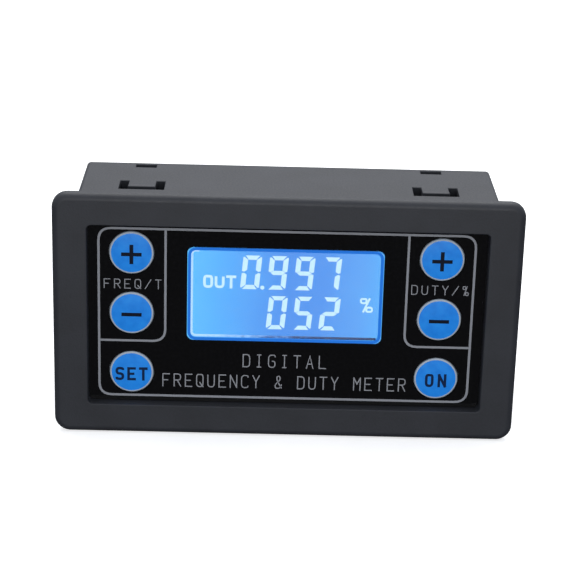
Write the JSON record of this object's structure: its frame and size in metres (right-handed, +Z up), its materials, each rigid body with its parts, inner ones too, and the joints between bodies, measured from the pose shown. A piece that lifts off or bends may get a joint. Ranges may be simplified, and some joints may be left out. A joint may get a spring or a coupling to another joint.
{
  "type": "frequency counter",
  "caption": "Panel-mount digital frequency instrument: rectangular bezel, backlit segment display, round push buttons, snap-in case and pull-off rear terminal plug.",
  "frame": {"origin": "centre of the bezel's rear face, which seats on the front of the panel", "axes": "+X to the right seen from the front, +Y to the rear through the panel, +Z up"},
  "size_m": [0.0794, 0.0311, 0.0432],
  "materials": {
    "case_plastic": "moulded ABS, fine texture",
    "cover_plastic": "moulded ABS, fine texture",
    "face_film": "back-printed polyester film",
    "adhesive": "transfer adhesive",
    "window_clear": "clear acrylic with a blue printed border",
    "polariser": "polarising film",
    "display_glass": "thin float glass",
    "diffuser_film": "matt film",
    "light_guide_acrylic": "clear acrylic",
    "reflector_film": "white film",
    "white_plastic": "moulded white plastic",
    "led": "moulded epoxy lens",
    "tinned_metal": "tinned",
    "black_plastic": "moulded nylon",
    "spring_steel": "pressed, bright",
    "laminate": "solder resist over glass-epoxy laminate",
    "screw_steel": "zinc plated",
    "chip_epoxy": "moulded epoxy",
    "can_steel": "drawn nickel-plated can",
    "can_aluminium": "satin can",
    "ferrite": "sintered ferrite",
    "ceramic": "fired ceramic",
    "green_plastic": "moulded nylon",
    "contact_brass": "stamped",
    "socket_steel": "nickel-plated shell",
    "button_blue": "moulded, printed symbol"
  },
  "bodies": {
    "case": {"housing": "case_plastic", "rear_cover": "cover_plastic", "face_overlay": "face_film", "overlay_adhesive": "adhesive", "display_window": "window_clear", "front_polariser": "polariser", "lcd_front_glass": "display_glass", "lcd_rear_glass": "display_glass", "rear_polariser": "polariser", "backlight_diffuser": "diffuser_film", "light_guide": "light_guide_acrylic", "backlight_reflector": "reflector_film", "display_holder": "white_plastic", "backlight_leds": "led", "lcd_pins": "tinned_metal", "switch_bodies": "black_plastic", "switch_covers": "spring_steel", "switch_domes": "spring_steel", "switch_pins": "tinned_metal", "circuit_board": "laminate", "board_screws": "screw_steel", "microcontroller": "chip_epoxy", "crystal": "can_steel", "voltage_regulator": "chip_epoxy", "output_driver": "chip_epoxy", "power_inductor": "ferrite", "electrolytic_capacitors": "can_aluminium", "chip_resistors": "ceramic", "terminal_header": "green_plastic", "header_pins": "tinned_metal", "usb_shell": "socket_steel", "usb_tongue": "black_plastic", "serial_header": "black_plastic", "serial_pins": "contact_brass"},
    "freq_up": {"freq_up_button": "button_blue", "freq_up_stem": "black_plastic"},
    "freq_down": {"freq_down_button": "button_blue", "freq_down_stem": "black_plastic"},
    "set": {"set_button": "button_blue", "set_stem": "black_plastic"},
    "duty_up": {"duty_up_button": "button_blue", "duty_up_stem": "black_plastic"},
    "duty_down": {"duty_down_button": "button_blue", "duty_down_stem": "black_plastic"},
    "output": {"output_button": "button_blue", "output_stem": "black_plastic"},
    "plug": {"terminal_plug": "green_plastic", "plug_contacts": "contact_brass"},
    "clamp_screw_1": {"clamp_screw_1": "screw_steel"},
    "wire_clamp_1": {"wire_clamp_1": "contact_brass"},
    "clamp_screw_2": {"clamp_screw_2": "screw_steel"},
    "wire_clamp_2": {"wire_clamp_2": "contact_brass"},
    "clamp_screw_3": {"clamp_screw_3": "screw_steel"},
    "wire_clamp_3": {"wire_clamp_3": "contact_brass"},
    "clamp_screw_4": {"clamp_screw_4": "screw_steel"},
    "wire_clamp_4": {"wire_clamp_4": "contact_brass"}
  },
  "joints": [
    {"name": "freq_up_press", "type": "slide", "parent": "case", "child": "freq_up", "axis": [0, 1, 0], "range_m": [0, 0.00035], "stiffness_N_per_m": 800, "springref_m": -0.0002},
    {"name": "freq_down_press", "type": "slide", "parent": "case", "child": "freq_down", "axis": [0, 1, 0], "range_m": [0, 0.00035], "stiffness_N_per_m": 800, "springref_m": -0.0002},
    {"name": "set_press", "type": "slide", "parent": "case", "child": "set", "axis": [0, 1, 0], "range_m": [0, 0.00035], "stiffness_N_per_m": 800, "springref_m": -0.0002},
    {"name": "duty_up_press", "type": "slide", "parent": "case", "child": "duty_up", "axis": [0, 1, 0], "range_m": [0, 0.00035], "stiffness_N_per_m": 800, "springref_m": -0.0002},
    {"name": "duty_down_press", "type": "slide", "parent": "case", "child": "duty_down", "axis": [0, 1, 0], "range_m": [0, 0.00035], "stiffness_N_per_m": 800, "springref_m": -0.0002},
    {"name": "output_press", "type": "slide", "parent": "case", "child": "output", "axis": [0, 1, 0], "range_m": [0, 0.00035], "stiffness_N_per_m": 800, "springref_m": -0.0002},
    {"name": "plug_pull", "type": "slide", "parent": "case", "child": "plug", "axis": [0, 1, 0], "range_m": [0, 0.011]},
    {"name": "clamp_screw_1_turn", "type": "hinge", "parent": "plug", "child": "clamp_screw_1", "pos_m": [-0.01921, 0.0267, -0.012], "axis": [0, 0, -1], "range_deg": [0, 1440]},
    {"name": "wire_clamp_1_lift", "type": "slide", "parent": "plug", "child": "wire_clamp_1", "axis": [0, 0, 1], "range_m": [0, 0.0016]},
    {"name": "clamp_screw_2_turn", "type": "hinge", "parent": "plug", "child": "clamp_screw_2", "pos_m": [-0.01541, 0.0267, -0.012], "axis": [0, 0, -1], "range_deg": [0, 1440]},
    {"name": "wire_clamp_2_lift", "type": "slide", "parent": "plug", "child": "wire_clamp_2", "axis": [0, 0, 1], "range_m": [0, 0.0016]},
    {"name": "clamp_screw_3_turn", "type": "hinge", "parent": "plug", "child": "clamp_screw_3", "pos_m": [-0.01159, 0.0267, -0.012], "axis": [0, 0, -1], "range_deg": [0, 1440]},
    {"name": "wire_clamp_3_lift", "type": "slide", "parent": "plug", "child": "wire_clamp_3", "axis": [0, 0, 1], "range_m": [0, 0.0016]},
    {"name": "clamp_screw_4_turn", "type": "hinge", "parent": "plug", "child": "clamp_screw_4", "pos_m": [-0.00779, 0.0267, -0.012], "axis": [0, 0, -1], "range_deg": [0, 1440]},
    {"name": "wire_clamp_4_lift", "type": "slide", "parent": "plug", "child": "wire_clamp_4", "axis": [0, 0, 1], "range_m": [0, 0.0016]}
  ],
  "couplings": [
    {"joint": "clamp_screw_1_turn", "follows": "wire_clamp_1_lift", "rad_per_m": 15708},
    {"joint": "clamp_screw_2_turn", "follows": "wire_clamp_2_lift", "rad_per_m": 15708},
    {"joint": "clamp_screw_3_turn", "follows": "wire_clamp_3_lift", "rad_per_m": 15708},
    {"joint": "clamp_screw_4_turn", "follows": "wire_clamp_4_lift", "rad_per_m": 15708}
  ]
}
